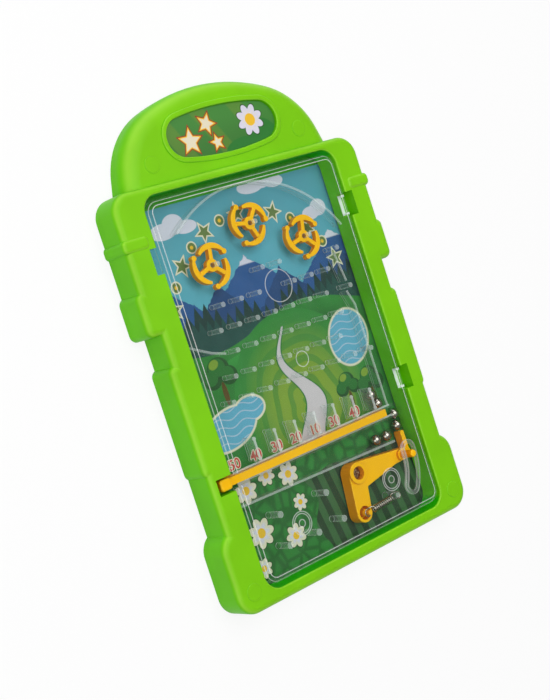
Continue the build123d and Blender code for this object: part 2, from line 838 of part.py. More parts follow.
with BuildPart() as lever_pivot_screw:
    post(pivot, lever_seat, pivot_screw_head_height, pivot_screw_head_radius)
    post(pivot, lever_seat - pivot_screw_length, pivot_screw_length, pivot_screw_radius)
lever_pivot_screw.part.label = "lever_pivot_screw"
export_step(lever_pivot_screw.part, "parts/lever_pivot_screw.step")

# Tension spring: a loop round each pin and a coil between them, as one wire
spring_start = Vector(spring_pin_place[0], spring_pin_place[1], spring_height)
spring_end = Vector(spring_post[0], spring_post[1], spring_height)
spring_length = (spring_end - spring_start).length
spring_way = (spring_end - spring_start).normalized()
spring_side = Vector(0, 0, 1).cross(spring_way)
loop_radius = spring_pin_radius + spring_loop_gap + spring_wire_radius
coil_length = spring_length - 2 * spring_lead
coil_angle = math.radians(360 * spring_turns - 2 * spring_start_angle)
coil_rise = coil_length / coil_angle


def spring_point(ahead, side, up):
    """A place given along the spring, to its side and up from its axis."""
    return spring_start + spring_way * ahead + spring_side * side + Vector(0, 0, up)


def spring_direction(ahead, side, up):
    """A direction given along the spring, to its side and up."""
    return (spring_way * ahead + spring_side * side + Vector(0, 0, up)).normalized()


def coil_station(share):
    """Place and direction on the coil at a share of its whole turn."""
    angle = math.radians(spring_start_angle) + share * coil_angle
    across = spring_coil_radius * math.cos(angle)
    up = spring_coil_radius * math.sin(angle)
    ahead = spring_lead + share * coil_length
    return spring_point(ahead, across, up), spring_direction(coil_rise, -up, across)


coil_steps = spring_turns * spring_steps_per_turn
stations = [coil_station(i / coil_steps) for i in range(coil_steps + 1)]
loop_top = spring_point(0, loop_radius, 0)
far_loop_top = spring_point(spring_length, loop_radius, 0)
loop_free = math.radians(90 + spring_loop_angle)
loop_middle = math.radians(90 + spring_loop_angle / 2)
free_place = (loop_radius * math.cos(loop_free), loop_radius * math.sin(loop_free))
middle_place = (loop_radius * math.cos(loop_middle), loop_radius * math.sin(loop_middle))

with BuildPart() as lever_spring:
    with BuildLine() as wire:
        ThreePointArc(spring_point(*free_place, 0), spring_point(*middle_place, 0), loop_top)
        biarc(loop_top, spring_way, *stations[0])
        for before, after in zip(stations, stations[1:]):
            biarc(*before, *after)
        biarc(*stations[-1], far_loop_top, spring_way)
        ThreePointArc(
            far_loop_top,
            spring_point(spring_length - middle_place[0], middle_place[1], 0),
            spring_point(spring_length - free_place[0], free_place[1], 0),
        )
    with BuildSketch(Plane(wire.wire() @ 0, z_dir=wire.wire() % 0)):
        Circle(spring_wire_radius)
    sweep()
lever_spring.part.label = "lever_spring"
export_step(lever_spring.part, "parts/lever_spring.step")

# Least gap of the spring to itself, measured on points along its wire
wire_line = wire.wire()
wire_points = [tuple(wire_line @ (i / gap_samples)) for i in range(gap_samples + 1)]
turn_length = 2 * math.pi * math.hypot(spring_coil_radius, coil_rise)
skip = int(gap_skip_turns_share * turn_length / wire_line.length * gap_samples)
least_gap = min(
    math.dist(wire_points[i], wire_points[j])
    for i in range(gap_samples - skip)
    for j in range(i + skip, gap_samples + 1)
)
print("least gap of the spring to itself", round(least_gap - 2 * spring_wire_radius, 3))

# Steel balls
ball_step = 2 * ball_radius + ball_gap
ball_stand = wall_thickness / 2 + ball_radius + ball_gap
lane_right = hollow_width / 2
launch_y = pivot[1] + finger_rise + ball_radius + ball_gap
launch_place = Vector((lane_x + lane_right) / 2, launch_y, ball_height)
pocket_place = Vector(lane_x - ball_stand, gate_high + ball_radius + ball_gap, ball_height)
rail_start = Vector(rail_right[0], rail_right[1], ball_height)
rail_run = Vector(rail_left[0] - rail_right[0], rail_left[1] - rail_right[1], 0)
rail_up = Vector(0, 0, -1).cross(rail_run.normalized())
ball_places = {
    "launch_ball": launch_place,
    "lane_ball": launch_place + Vector(ball_step, 0, 0).rotate(Axis.Z, lane_ball_angle),
    "pocket_ball_lower": pocket_place,
    "pocket_ball_upper": pocket_place + Vector(ball_step, 0, 0).rotate(Axis.Z, pocket_ball_angle),
}
for name, share in rail_ball_shares.items():
    ball_places[name] = rail_start + rail_run * share + rail_up * ball_stand
for name, place in ball_places.items():
    with BuildPart() as ball:
        with Locations(place):
            Sphere(ball_radius)
    ball.part.label = name
    export_step(ball.part, f"parts/{name}.step")
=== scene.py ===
"""Tabletop pinball game: prints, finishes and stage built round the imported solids.

Lengths are metres in the part's own frame: X across the case, Y along it to the header and Z up out of
the cover. Named lengths are in millimetres.
"""
import math

import bpy
import numpy as np
from mathutils import Matrix, Vector


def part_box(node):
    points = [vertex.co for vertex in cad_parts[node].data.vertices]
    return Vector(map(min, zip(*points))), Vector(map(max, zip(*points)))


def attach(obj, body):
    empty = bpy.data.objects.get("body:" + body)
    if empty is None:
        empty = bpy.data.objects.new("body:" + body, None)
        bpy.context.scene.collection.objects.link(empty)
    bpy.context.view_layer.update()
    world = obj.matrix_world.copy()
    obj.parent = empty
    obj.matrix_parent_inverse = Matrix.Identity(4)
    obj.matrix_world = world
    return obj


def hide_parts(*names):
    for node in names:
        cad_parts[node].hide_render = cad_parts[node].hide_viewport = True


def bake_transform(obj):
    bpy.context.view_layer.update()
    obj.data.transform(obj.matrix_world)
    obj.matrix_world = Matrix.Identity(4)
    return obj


bl_info = {
    "name": "Tabletop pinball game",
    "version": (1, 0, 0),
    "blender": (4, 5, 0),
    "location": "View3D > Sidebar > Pinball",
    "description": "Builds the prints, finishes and stage of a tabletop pinball game",
    "category": "Object",
}

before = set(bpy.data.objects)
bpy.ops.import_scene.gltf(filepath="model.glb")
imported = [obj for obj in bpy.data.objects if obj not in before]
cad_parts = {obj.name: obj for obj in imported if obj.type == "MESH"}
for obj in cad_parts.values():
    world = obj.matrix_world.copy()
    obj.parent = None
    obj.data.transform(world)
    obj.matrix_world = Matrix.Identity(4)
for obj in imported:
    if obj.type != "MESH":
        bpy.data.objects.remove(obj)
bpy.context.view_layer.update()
mm = 0.001

# Outline and levels of the clear pieces, in millimetres
cover_middle = (0.0, -21.15)
cover_half = (62.4, 98.65)
cover_corner = 7.0
window_half = (63.0, 101.05)
cover_top = 18.0
latch_places = (48.5, -50.0)
latch_top = 14.0
latch_base = 11.0
latch_reach = 4.2
collar_top = 19.5

# Painted highlight lines of the cover, pale where light catches its edges, by their depth inside its
# outline or by their height
top_line_depth = (2.75, 3.15)
round_line_depth = (0.85, 1.2)
side_line_height = (14.3, 15.0)
guide_height = (10.3, 10.9)

# Heights of what stands on the tray
play_floor = 3.8
peg_top = 14.6
wall_top = 10.0
divider_top = 13.1

# Header's oval: radius of its round ends, and the lengths along the case between which its print lies
oval_end_radius = 10.05
header_ends = (80.0, 130.0)
header_middle = 104.0

# Screws: heights of the heads, radii of the shanks and of the plate's heads, and how the plate's are found
pivot_head = 1.6
pivot_shank = 1.2
plate_head = 1.3
plate_shank = 1.3
plate_radius = 2.5
screw_cell = 12.0
screw_reach = 9.0

# Floor: half its size in metres, and the share of plain white in it as the camera sees it
floor_reach = 12.0
floor_white = 0.86

# Camera: the width of its sensor, its right, up and viewing directions and its place in metres
sensor_width = 36.0
camera_right = Vector((0.7496, -0.3076, 0.5861))
camera_up = Vector((0.2846, 0.9492, 0.1341))
camera_ahead = Vector((0.5976, -0.0663, -0.7990))
camera_place = Vector((-0.4111, 0.0326, 0.5479))

# Printed card: its corner, the ends of its print, where its parts meet and where its band of painted wall
# shade starts, and its numbers
card_corner = 9.8
card_ends = (-130.0, 90.0)
card_splits = (-6.5, -64.7)
wall_shade_line = 74.0
score_line = -59.4
score_size = 7.4

# Printed hills: level, swing, pitch, phase and tone of each
card_hills = ((2.0, 6.0, 0.052, 0.4, 0.6), (-14.0, 7.0, 0.044, 2.2, 0.75))


def linear(red, green, blue):
    """A colour given in screen values from 0 to 255, as the linear values that shaders use."""
    screen = np.array([red, green, blue]) / 255.0
    values = np.where(screen <= 0.04045, screen / 12.92, ((screen + 0.055) / 1.055) ** 2.4)
    return tuple(float(v) for v in values)


def colour_property(name, description, screen):
    """A colour that a user may change, with its default in screen values."""
    return bpy.props.FloatVectorProperty(
        name=name, description=description, subtype="COLOR", size=3, default=linear(*screen)
    )


def number_property(name, description, default, subtype="NONE", **limits):
    """A number that a user may change, from zero up unless other limits are given."""
    limits = {"min": 0.0, **limits}
    return bpy.props.FloatProperty(
        name=name, description=description, subtype=subtype, default=default, **limits
    )


def solid_colour(colour):
    """A colour with full alpha, for a colour socket."""
    return (colour[0], colour[1], colour[2], 1.0)


def shade(colour, share):
    """The same hue, darker or lighter by a share."""
    return tuple(min(1.0, c * share) for c in colour)


class Value:
    """A number in a material's nodes; arithmetic on it adds Math nodes."""

    def __init__(self, finish, socket):
        self.finish = finish
        self.socket = socket

    def __add__(self, other):
        return self.finish.math("ADD", self, other)

    def __sub__(self, other):
        return self.finish.math("SUBTRACT", self, other)

    def __rsub__(self, other):
        return self.finish.math("SUBTRACT", other, self)

    def __mul__(self, other):
        return self.finish.math("MULTIPLY", self, other)

    def __truediv__(self, other):
        return self.finish.math("DIVIDE", self, other)

    def __pow__(self, other):
        return self.finish.math("POWER", self, other)

    def __abs__(self):
        return self.finish.math("ABSOLUTE", self)


class Finish:
    """One material, with short ways to add its nodes."""

    shelf = "materials"
    end = "ShaderNodeOutputMaterial"

    def __init__(self, name):
        self.material = getattr(bpy.data, self.shelf).new(name)
        self.material.use_nodes = True
        self.tree = self.material.node_tree
        self.tree.nodes.clear()
        self.output = self.tree.nodes.new(self.end)

    def node(self, kind, settings=None, inputs=None, output=0):
        """Adds a node: its settings first, then the values or links of its sockets."""
        node = self.tree.nodes.new(kind)
        for key, value in (settings or {}).items():
            setattr(node, key, value)
        for key, value in (inputs or {}).items():
            if isinstance(value, Value):
                self.tree.links.new(value.socket, node.inputs[key])
            else:
                node.inputs[key].default_value = value
        return Value(self, node.outputs[output])

    def math(self, operation, *values):
        """A Math node on numbers or sockets."""
        return self.node("ShaderNodeMath", {"operation": operation}, dict(enumerate(values)))

    def vector(self, operation, *values, output=0):
        """A Vector Math node on vectors or sockets."""
        return self.node("ShaderNodeVectorMath", {"operation": operation}, dict(enumerate(values)), output)

    def parts(self, spot):
        """The three numbers of a vector."""
        split = self.tree.nodes.new("ShaderNodeSeparateXYZ")
        self.tree.links.new(spot.socket, split.inputs[0])
        return [Value(self, socket) for socket in split.outputs]

    def place(self):
        """Object coordinates in millimetres."""
        spot = self.node("ShaderNodeTexCoord", output="Object")
        return self.vector("MULTIPLY", spot, (1 / mm, 1 / mm, 1 / mm))

    def noise(self, spot, scale, detail=2.0, rough=0.5):
        """Cloudy noise from 0 to 1, with scale in patches per millimetre."""
        inputs = {"Vector": spot, "Scale": scale, "Detail": detail, "Roughness": rough}
        return self.node("ShaderNodeTexNoise", None, inputs)

    def step(self, value, low, high, start=0.0, end=1.0):
        """A smooth step from start to end as the value goes from low to high."""
        inputs = {"Value": value, "From Min": low, "From Max": high, "To Min": start, "To Max": end}
        return self.node("ShaderNodeMapRange", {"interpolation_type": "SMOOTHSTEP"}, inputs)

    def band(self, value, low, high, blur):
        """Mask of the values between two limits."""
        return self.step(value, low - blur, low + blur) * self.step(value, high + blur, high - blur)

    def mix(self, factor, below, above):
        """One colour laid over another by a factor."""
        inputs = {0: factor}
        for key, colour in ((6, below), (7, above)):
            inputs[key] = colour if isinstance(colour, Value) else solid_colour(colour)
        return self.node("ShaderNodeMix", {"data_type": "RGBA"}, inputs, output=2)

    def bump(self, height, distance):
        """A normal bent by a height, with the distance in millimetres."""
        inputs = {"Strength": 1.0, "Distance": distance * mm, "Height": height}
        return self.node("ShaderNodeBump", None, inputs)

    def principled(self, colour, **inputs):
        """The main shader: a colour, and other sockets by name with underscores for spaces."""
        sockets = {"Base Color": colour if isinstance(colour, Value) else solid_colour(colour)}
        for key, value in inputs.items():
            sockets[key.replace("_", " ")] = value
        return self.node("ShaderNodeBsdfPrincipled", None, sockets)

    def done(self, shader):
        """Links the shader to the output and gives the material."""
        self.tree.links.new(shader.socket, self.output.inputs["Surface"])
        return self.material


class Surround(Finish):
    """A world, with the same short ways to add its nodes."""

    shelf = "worlds"
    end = "ShaderNodeOutputWorld"


class Picture(Finish):
    """A printed picture, painted in layers from back to front on a flat sheet."""

    def __init__(self, name, ground, low, high):
        super().__init__(name)
        self.low = low
        self.high = high
        self.spot = self.place()
        self.x, self.y, _ = self.parts(self.spot)
        self.colour = ground

    def paint(self, mask, colour):
        """Lays a colour over the picture where the mask is 1."""
        if mask is not None:
            self.colour = self.mix(mask, self.colour, colour)

    def local(self, centre, turn=0.0, size=(1.0, 1.0)):
        """Places measured from a centre, turned and divided by a size."""
        inputs = {
            "Vector": self.spot,
            "Location": (centre[0], centre[1], 0.0),
            "Rotation": (0.0, 0.0, math.radians(turn)),
            "Scale": (size[0], size[1], 1.0),
        }
        flat = self.node("ShaderNodeMapping", {"vector_type": "TEXTURE"}, inputs)
        return self.vector("MULTIPLY", flat, (1.0, 1.0, 0.0))

    def oval(self, centre, size, turn=0.0, blur=0.05):
        """Mask of an ellipse with half axes as its size: 1 where the scaled radius is under 1."""
        radius = self.vector("LENGTH", self.local(centre, turn, size), output=1)
        return self.step(radius, 1 + blur, 1 - blur)

    def ovals(self, places, blur=0.05):
        """Mask of several ellipses, as the largest of their masks; those off this part are passed over."""
        mask = None
        for centre, size, turn in places:
            if self.low - max(size) < centre[1] < self.high + max(size):
                one = self.oval(centre, size, turn, blur)
                mask = one if mask is None else self.math("MAXIMUM", mask, one)
        return mask

    def under(self, level, blur=0.25):
        """Mask of the places below a level of Y, which may change with X."""
        return self.step(level - self.y, -blur, blur)

    def polar(self, spot):
        """Radius and angle of a place, with the angle from -pi to pi."""
        across, up, _ = self.parts(spot)
        angle = self.math("ARCTAN2", up, across)
        return self.vector("LENGTH", spot, output=1), angle

    def star(self, radius, angle, tip, notch, points):
        """Height inside a star's edge: the angle folds to half a point, whose edge joins tip and notch."""
        half = math.pi / points
        folded = self.math("PINGPONG", angle + 4 * math.pi, half)
        across = radius * self.math("COSINE", folded)
        up = radius * self.math("SINE", folded)
        run = (notch * math.cos(half) - tip, notch * math.sin(half))
        size = math.hypot(*run)
        return (across - tip) * (-run[1] / size) + up * (run[0] / size)

    def petals(self, radius, angle, size, count, depth=0.3):
        """Height inside a flower's edge, which swells with the absolute cosine of half a petal's turn."""
        swell = abs(self.math("COSINE", angle * (count / 2))) * (size * depth) + size * (1 - depth)
        return swell - radius

    def inside(self, height, edge=0.0, blur=0.12):
        """Mask of the places whose height inside an edge is over a limit."""
        return self.step(height, edge - blur, edge + blur)


class CaseColours(bpy.types.PropertyGroup):
    """Colours and gloss of the moulded case."""

    green: colour_property("Case green", "Colour of the moulded case", (119, 199, 0))
    # Painted shade: a deeper green on upright faces, standing in for the shade on the case's sides
    flank_shade: colour_property("Flank green", "Colour of the upright faces", (104, 202, 0))
    # Painted highlight: a paler green on rounded edges, standing in for light caught by the fillets
    pale: colour_property("Pale green", "Colour of the rounded edges", (176, 232, 84))
    # Painted shade: a deep green on the end walls of the window below its rim, standing in for the shade in
    # the window
    well_shade: colour_property("Well green", "Colour of the window's walls", (38, 190, 0))
    back: colour_property("Back green", "Colour of the back plate", (104, 180, 8))
    roughness: number_property("Roughness", "Roughness of the case", 0.42, "FACTOR", max=1.0)


class PrintColours(bpy.types.PropertyGroup):
    """Colours of the printed sheets."""

    sky: colour_property("Sky", "Colour of the printed sky", (82, 154, 172))
    cloud: colour_property("Cloud", "Colour of clouds, snow and petals", (214, 210, 226))
    peak: colour_property("Peak", "Colour of the far peaks", (28, 68, 118))
    wood: colour_property("Wood", "Colour of the dark wood", (18, 56, 50))
    hill: colour_property("Hill", "Colour of the near hills", (48, 138, 52))
    meadow: colour_property("Meadow", "Colour of the bright meadow", (128, 158, 46))
    water: colour_property("Water", "Colour of the ponds", (96, 168, 196))
    cream: colour_property("Cream", "Colour of banks, petals and outlines", (226, 216, 190))
    lawn: colour_property("Lawn", "Colour of the striped lawn", (34, 62, 32))
    # Painted shade: a green band along the card's top edge that stands in for the shaded inner wall of the
    # case above it
    margin: colour_property("Margin", "Colour of the card's upper margin", (52, 152, 8))
    olive: colour_property("Olive", "Colour of the arc of stars", (100, 122, 62))
    number: colour_property("Number", "Colour of the score numbers", (205, 52, 42))
    gold: colour_property("Gold", "Colour of star edges and flower hearts", (236, 186, 38))
    path: colour_property("Path", "Colour of the path", (206, 196, 200))
    panel: colour_property("Panel", "Colour of the header's panel", (66, 134, 54))


class PieceColours(bpy.types.PropertyGroup):
    """Colours of the clear, yellow and steel pieces."""

    clear: colour_property("Clear", "Tint of the clear plastic", (250, 253, 252))
    yellow: colour_property("Yellow", "Colour of the yellow pieces", (248, 184, 0))
    # Painted shade: orange on the yellow pieces' upright faces, standing in for their shaded sides
    amber_shade: colour_property("Amber", "Colour of their upright faces", (240, 150, 0))
    # Painted highlight: a lighter yellow on their rounded edges
    lemon_highlight: colour_property("Lemon", "Colour of their rounded edges", (255, 214, 60))
    # The steel's own colour, darkened and warmed in part as painted reflection of brownish surroundings
    steel: colour_property("Steel", "Colour of the balls and the spring", (176, 168, 158))
    # Painted reflection: the screws' brownish tone stands in for the yellow lever's light reflected in the
    # pivot screw
    screw: colour_property("Screw", "Colour of the screws", (150, 124, 98))


class StageSettings(bpy.types.PropertyGroup):
    """Light and camera."""

    lamp_power: number_property("Key lamp", "Power of the lamp above", 11.5, "POWER")
    fill_power: number_property("Fill lamp", "Power of the lamp at the left", 4.4, "POWER")
    rim_power: number_property("Rim lamp", "Power of the lamp behind the header", 4.0, "POWER")
    sky_level: number_property("Ambient", "Level of the light all round", 0.3)
    lens: number_property("Lens", "Focal length", 67.45, "DISTANCE_CAMERA", min=1.0)


def mesh_points(mesh):
    """The points of a mesh as the rows of an array."""
    points = np.zeros(len(mesh.vertices) * 3)
    mesh.vertices.foreach_get("co", points)
    return points.reshape(-1, 3)


def build_mesh(name, points, faces, smooth=True):
    """A mesh object at the origin from an array of points and lists of point numbers."""
    mesh = bpy.data.meshes.new(name)
    mesh.from_pydata(np.asarray(points, float).reshape(-1, 3), [], [list(face) for face in faces])
    mesh.update()
    if smooth:
        mesh.shade_smooth()
    else:
        mesh.shade_flat()
    piece = bpy.data.objects.new(name, mesh)
    bpy.context.scene.collection.objects.link(piece)
    return piece


def copied_piece(name, node, keep, crease=32.0):
    """A solid's surface with shared corners, less the triangles that a test on middle and normal drops."""
    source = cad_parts[node].data
    points = mesh_points(source)
    corners = np.zeros(len(source.loops), dtype=np.int32)
    source.loops.foreach_get("vertex_index", corners)
    grid = np.round(points / (mm / 1000))
    _, first, shared = np.unique(grid, axis=0, return_index=True, return_inverse=True)
    points = points[first]
    faces = shared.reshape(-1)[corners].reshape(-1, 3)
    a, b, c = (points[faces[:, i]] for i in range(3))
    normal = np.cross(b - a, c - a)
    area = np.linalg.norm(normal, axis=1)
    whole = area > 1e-14
    kept = keep((a + b + c)[whole] / (3 * mm), normal[whole] / area[whole, None])
    used, faces = np.unique(faces[whole][kept], return_inverse=True)
    piece = build_mesh(name, points[used], faces.reshape(-1, 3))
    piece.data.set_sharp_from_angle(angle=math.radians(crease))
    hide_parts(node)
    return piece


def whole_skin(middle, normal):
    """True everywhere."""
    return np.full(len(middle), True)


def outer_skin(middle, normal):
    """True off the cover's inner faces: its ceiling, its skirt's inner side and its flange's underside.

    The way out of the cover at a place is the place's overhang past a smaller rectangle, so it is zero in
    the middle, square to the sides along them, and turns at the corners.
    """
    spot = middle[:, :2] - cover_middle
    overhang = np.sign(spot) * np.maximum(np.abs(spot) - (np.array(cover_half) - cover_corner), 0.0)
    size = np.linalg.norm(overhang, axis=1, keepdims=True)
    inward = (normal[:, :2] * overhang / np.maximum(size, 0.001)).sum(axis=1) < -0.05
    level = middle[:, 2]
    ceiling = (normal[:, 2] < -0.2) & (level > latch_top)
    underside = (normal[:, 2] < -0.9) & (level < play_floor - 0.5)
    return ~((inward & (level < cover_top - 1.0)) | ceiling | underside)


def standing_skin(middle, normal):
    """True above the tray's floor face and on it, but not on what lies under it."""
    level = middle[:, 2]
    underside = (normal[:, 2] < -0.9) & (level < play_floor + 0.05)
    return (level > play_floor - 0.01) & ~underside


def tube_faces(rows, columns, first=0):
    """Faces between rings of points, closed around; rings follow each other."""
    row, column = np.meshgrid(np.arange(rows - 1), np.arange(columns), indexing="ij")
    after = (column + 1) % columns
    here, there = row * columns, (row + 1) * columns
    corners = (here + column, here + after, there + after, there + column)
    return np.stack([c.ravel() for c in corners], axis=1) + first


def oval_outline(half_width, half_height, centre, end_radius, turns=28):
    """Points round an oval of four arcs that meet smoothly: round ends, and flat arcs above and below.

    The flat arc's radius is that of the circle through the top that touches both end circles, and it starts
    where the line through the two centres leaves the end circle. The other half is the first one turned by
    half a turn.
    """
    run = half_width - end_radius
    flat = (run**2 + half_height**2 - end_radius**2) / (2 * (half_height - end_radius))
    tilt = math.atan2(flat - half_height, run)
    ends = np.linspace(-tilt, tilt, turns)[:-1]
    tops = np.linspace(tilt, math.pi - tilt, turns)[:-1]
    right = np.array([run, 0.0]) + end_radius * np.stack([np.cos(ends), np.sin(ends)], axis=1)
    above = np.array([0.0, half_height - flat]) + flat * np.stack([np.cos(tops), np.sin(tops)], axis=1)
    half = np.concatenate([right, above])
    return np.concatenate([half, -half]) + centre


def sheet_piece(name, outline, low, high):
    """A flat sheet over an outline: a ring below, a ring above and a face on each end."""
    count = len(outline)
    rings = [np.column_stack([outline, np.full(count, level)]) for level in (low, high)]
    faces = list(tube_faces(2, count))
    faces.append(range(count)[::-1])
    faces.append(range(count, 2 * count))
    return build_mesh(name, np.concatenate(rings), faces, smooth=False)


def card_piece(name, low, high, corner, splits, turns=14):
    """A card with round corners, as rows across it of four points each; each split starts a new material.

    In a corner the row at an angle has the half width less the corner times one minus the angle's sine, and
    lies in from the card's end by the corner times one minus its cosine.
    """
    half = (high - low) / 2
    middle = (high + low) / 2
    turn = np.linspace(0, np.pi / 2, turns)
    width = half.x - corner + corner * np.sin(turn)
    near = np.stack([width, -half.y + corner - corner * np.cos(turn)], axis=1)
    sides = np.array([(half.x, split - middle.y) for split in sorted(splits)])
    rows = np.concatenate([near, sides, near[::-1] * (1, -1)])
    corners = ((1, low.z), (-1, low.z), (-1, high.z), (1, high.z))
    columns = [
        np.column_stack(
            [middle.x + side * rows[:, 0], middle.y + rows[:, 1], np.full(len(rows), level)]
        )
        for side, level in corners
    ]
    points = np.stack(columns, axis=1)
    faces = list(tube_faces(len(rows), 4))
    faces.append(range(4)[::-1])
    faces.append(range(4 * len(rows) - 4, 4 * len(rows)))
    piece = build_mesh(name, points, faces, smooth=False)
    places = np.repeat(rows[:-1, 1] + rows[1:, 1], 4) / 2 + middle.y
    zone = sum((places < split).astype(np.int32) for split in splits)
    piece.data.polygons.foreach_set("material_index", np.append(zone, [len(splits), 0]))
    return piece


def screw_heads(name, places, radius, base, top, shank_radius, shank_end):
    """Round screw heads with a cross recess.

    The height over the head is a low dome, less a depth where a place lies in one of two crossed bars; each
    bar's edge is a steep smooth step. The rings go on down the head's side, under it and along the shank.
    """
    around, across = 64, 22
    dome_drop, recess = 0.28, 0.55
    bar_length, bar_width = 0.6, 0.15
    up = 1.0 if top > base else -1.0
    height = abs(top - base)
    angle = np.linspace(0, 2 * np.pi, around, endpoint=False)
    ring = np.linspace(0.02, 1.0, across)
    r, a = np.meshgrid(ring, angle, indexing="ij")
    x, y = r * np.cos(a), r * np.sin(a)
    dome = 1.0 - dome_drop * r**2

    def bar(u, v):
        """1 inside a bar along u."""
        across_bar = 1 / (1 + np.exp((np.abs(v) - bar_width) * 40))
        along_bar = 1 / (1 + np.exp((np.abs(u) - bar_length) * 24))
        return across_bar * along_bar

    cross = np.maximum(bar(x, y), bar(y, x))
    z = (dome - recess * cross) * height
    shank = shank_radius / radius
    lower = [(1.0, 0.12 * height), (0.97, 0.0), (shank, 0.0), (shank, (shank_end - base) * up)]
    all_r = np.concatenate([r] + [np.full((1, around), share) for share, _ in lower])
    all_z = np.concatenate([z] + [np.full((1, around), level) for _, level in lower])
    turn = np.broadcast_to(angle, all_r.shape)
    rows = len(all_r)
    flat = all_r * radius
    one = np.stack([flat * np.cos(turn), flat * np.sin(turn) * up, base + all_z * up], axis=-1)
    one = one.reshape(-1, 3)
    faces = []
    points = []
    for number, (px, py) in enumerate(places):
        first = number * rows * around
        points.append(one + (px, py, 0.0))
        last = first + (rows - 1) * around
        faces += list(tube_faces(rows, around, first)[:, ::-1])
        faces.append(range(first, first + around))
        faces.append(range(last, last + around)[::-1])
    return build_mesh(name, np.concatenate(points), faces)


def words_mesh(name, rows, size, grow, level, thickness):
    """Numbers as one mesh: each text is set, made a mesh and moved to its place."""
    points = []
    faces = []
    count = 0
    for text, (x, y) in rows:
        curve = bpy.data.curves.new(name, "FONT")
        curve.body = text
        curve.size = size
        curve.align_x = "CENTER"
        curve.align_y = "CENTER"
        curve.offset = grow
        curve.extrude = thickness / 2
        holder = bpy.data.objects.new(name, curve)
        bpy.context.scene.collection.objects.link(holder)
        mesh = bpy.data.meshes.new_from_object(holder.evaluated_get(bpy.context.evaluated_depsgraph_get()))
        points.append(mesh_points(mesh) + (x, y, level))
        faces += [[count + v for v in polygon.vertices] for polygon in mesh.polygons]
        count += len(mesh.vertices)
        bpy.data.objects.remove(holder)
        bpy.data.curves.remove(curve)
        bpy.data.meshes.remove(mesh)
    return build_mesh(name, np.concatenate(points), faces, smooth=False)


def dress(names, material):
    """Gives CAD nodes a material."""
    for name in names:
        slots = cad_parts[name].data.materials
        slots.clear()
        slots.append(material)


def moulded_finish(name, colour, flank_shade, pale, roughness, grain, gloss, well_shade=None):
    """Moulded plastic: deeper on upright faces as painted shade, paler on rounded edges as painted
    highlight, with a drift of tone and a grain.

    The well colour is painted shade on the end walls of the case's window, below its rim.
    """
    finish = Finish(name)
    spot = finish.place()
    drift = finish.noise(spot, 0.035, 3.0)
    fine = finish.noise(spot, 2.4, 2.0)
    peel = finish.noise(spot, 0.55, 1.0)
    _, along, upright = finish.parts(finish.node("ShaderNodeNewGeometry", output="Normal"))
    # Painted shade on upright faces and painted highlight on rounded edges, chosen by the normal
    base = finish.mix(finish.step(abs(upright), 0.1, 0.9), flank_shade, colour)
    base = finish.mix(finish.band(abs(upright), 0.55, 0.9, 0.2) * 0.4, base, pale)
    # Painted shade on the end walls of the window below its rim
    if well_shade is not None:
        x, y, z = finish.parts(spot)
        inside = finish.step(abs(x), window_half[0] + 0.6, window_half[0] + 0.2)
        inside = inside * finish.step(abs(y - cover_middle[1]), window_half[1] + 0.6, window_half[1] + 0.2)
        inside = inside * finish.step(abs(along), 0.3, 0.7)
        base = finish.mix(inside * finish.step(z, cover_top - 0.4, cover_top - 1.4), base, well_shade)
    base = finish.mix(finish.step(drift, 0.3, 0.7, 0.0, 0.08), base, (0.0, 0.0, 0.0))
    rough = finish.step(fine, 0.25, 0.75, roughness - 0.05, roughness + 0.06)
    normal = finish.bump(fine * 0.35 + peel * 0.65, grain)
    return finish.done(finish.principled(base, Roughness=rough, Normal=normal, Specular_IOR_Level=gloss))


def cover_highlights(finish, x, y, z):
    """Painted highlights of the cover, pale where light catches the clear plastic: edge lines, rings, the
    slot's collar, the gate's guides and the latches.

    The depth inside the cover's outline is its corner radius less the distance from the rectangle of corner
    centres.
    """
    across = abs(x) - (cover_half[0] - cover_corner)
    ahead = abs(y - cover_middle[1]) - (cover_half[1] - cover_corner)
    aside = finish.math("MAXIMUM", across, 0.0) ** 2.0 + finish.math("MAXIMUM", ahead, 0.0) ** 2.0
    within = finish.math("MINIMUM", finish.math("MAXIMUM", across, ahead), 0.0)
    depth = cover_corner - finish.math("SQRT", aside) - within
    upper = finish.step(z, cover_top - 0.6, cover_top - 0.3)
    top_line = finish.band(depth, *top_line_depth, 0.12) * upper * 0.5
    side_line = finish.band(z, *side_line_height, 0.15) * finish.step(depth, 0.4, 0.2) * 0.3
    upper = finish.step(z, latch_top, latch_top + 0.5)
    round_line = finish.band(depth, *round_line_depth, 0.12) * upper * 0.35
    collar = finish.step(z, collar_top - 0.12, collar_top - 0.04, 1.0, 0.28)
    raised = finish.step(z, cover_top + 0.03, cover_top + 0.12) * collar * 0.34
    guides = finish.band(z, *guide_height, 0.05) * finish.step(depth, 1.6, 2.0) * 0.42
    reach = finish.math("MINIMUM", abs(y - latch_places[0]), abs(y - latch_places[1]))
    base = finish.step(z, latch_base + 0.1, latch_base + 0.05)
    rim = finish.math("MAXIMUM", finish.step(reach, latch_reach, latch_reach + 0.3), base)
    aside = finish.step(x, cover_half[0] + 0.05, cover_half[0] + 0.1)
    latches = rim * aside * finish.step(z, latch_base - 0.5, latch_base - 0.3) * 0.8
    marks = top_line
    for more in (side_line, round_line, raised, guides, latches):
        marks = finish.math("MAXIMUM", marks, more)
    return marks


def upright_highlights(top, top_weight, foot_weight):
    """Painted highlights of what stands on the tray: a pale ring round its foot, and its top."""

    def marks(finish, x, y, z):
        """The larger of the foot's painted highlight and the top's at a height."""
        foot = finish.band(z, play_floor + 0.05, play_floor + 0.5, 0.05) * foot_weight
        brim = finish.band(z, top - 0.4, top - 0.05, 0.05) * (top_weight * 1.6)
        crown = finish.step(z, top - 0.06, top - 0.03, 0.0, top_weight)
        return finish.math("MAXIMUM", foot, finish.math("MAXIMUM", brim, crown))

    return marks


